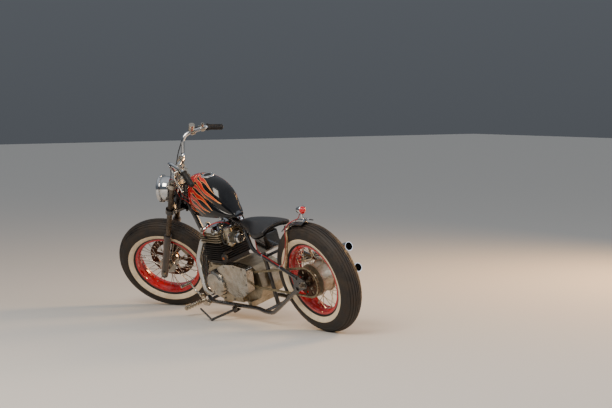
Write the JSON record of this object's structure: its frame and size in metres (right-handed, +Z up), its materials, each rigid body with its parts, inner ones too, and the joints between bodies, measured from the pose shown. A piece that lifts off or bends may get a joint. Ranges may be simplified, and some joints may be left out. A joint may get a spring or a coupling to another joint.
{
  "type": "bobber motorcycle",
  "caption": "Rigid-frame bobber motorcycle on its side stand, with steering, turning wire wheels, chain drive and solo seat.",
  "frame": {"origin": "on the floor, at the centre of the footprint of the leaning machine", "axes": "+X is the way the machine points, +Y its left side, +Z up"},
  "size_m": [2.1859, 0.7792, 1.2158],
  "materials": {
    "black_gloss_paint": "gloss",
    "tank_paint": "gloss",
    "red_rim_paint": "gloss",
    "black_engine_paint": "satin",
    "dark_fork_paint": "gloss",
    "chrome": "polished",
    "cast_aluminium": "satin",
    "polished_aluminium": "polished",
    "zinc_steel": "satin",
    "chain_steel": "satin",
    "brown_steel": "satin",
    "tyre_rubber": "matt",
    "black_rubber": "matt",
    "black_leather": "satin",
    "clear_glass": "gloss",
    "red_lens": "gloss"
  },
  "bodies": {
    "frame": {"frame_spine": "black_gloss_paint", "frame_rails": "black_gloss_paint", "frame_stays": "black_gloss_paint", "fuel_tank": "tank_paint", "filler_cap": "chrome", "seat_pan": "black_gloss_paint", "seat_cushion": "black_leather", "rear_fender": "chrome", "tail_lamp": "chrome", "tail_lens": "red_lens", "crankcase": "cast_aluminium", "alternator_cover": "polished_aluminium", "sprocket_cover": "polished_aluminium", "clutch_cover": "polished_aluminium", "cylinder_block": "black_engine_paint", "cylinder_head": "black_engine_paint", "rocker_cover": "chrome", "carburettors": "cast_aluminium", "air_filters": "black_rubber", "horn": "black_engine_paint", "battery_box": "black_gloss_paint", "exhaust_lower": "chrome", "exhaust_upper": "chrome", "foot_pegs": "black_gloss_paint", "foot_levers": "polished_aluminium", "drive_chain": "chain_steel", "gearbox_sprocket": "chain_steel", "rear_axle": "zinc_steel", "brake_plate": "black_engine_paint"},
    "steering": {"lower_yoke": "black_gloss_paint", "upper_yoke": "polished_aluminium", "fork_stanchions": "polished_aluminium", "fork_sliders": "dark_fork_paint", "front_axle": "zinc_steel", "handlebar": "chrome", "grips": "black_rubber", "hand_controls": "polished_aluminium", "headlamp": "chrome", "headlamp_lens": "clear_glass", "front_caliper": "cast_aluminium"},
    "front_wheel": {"front_tyre": "tyre_rubber", "front_rim": "red_rim_paint", "front_hub": "polished_aluminium", "front_disc": "brown_steel"},
    "rear_wheel": {"rear_tyre": "tyre_rubber", "rear_rim": "red_rim_paint", "rear_hub": "cast_aluminium", "rear_sprocket": "brown_steel"},
    "side_stand": {"side_stand": "black_gloss_paint"}
  },
  "joints": [
    {"name": "steering", "type": "hinge", "parent": "frame", "child": "steering", "pos_m": [0.4137, 0.0976, 0.78395], "axis": [-0.5235, 0.2633, 0.8103], "range_deg": [-70, 0]},
    {"name": "front_wheel", "type": "hinge", "parent": "steering", "child": "front_wheel", "pos_m": [0.78712, -0.01818, 0.29769], "axis": [-0.4887, 0.6863, -0.5387], "continuous": true},
    {"name": "rear_wheel", "type": "hinge", "parent": "frame", "child": "rear_wheel", "pos_m": [-0.75205, -0.0507, 0.32754], "axis": [0, 0.9511, -0.309], "continuous": true},
    {"name": "side_stand", "type": "hinge", "parent": "frame", "child": "side_stand", "pos_m": [0.01423, 0.00732, 0.06601], "axis": [-0.1057, 0.4456, 0.889], "range_deg": [0, 95]}
  ]
}
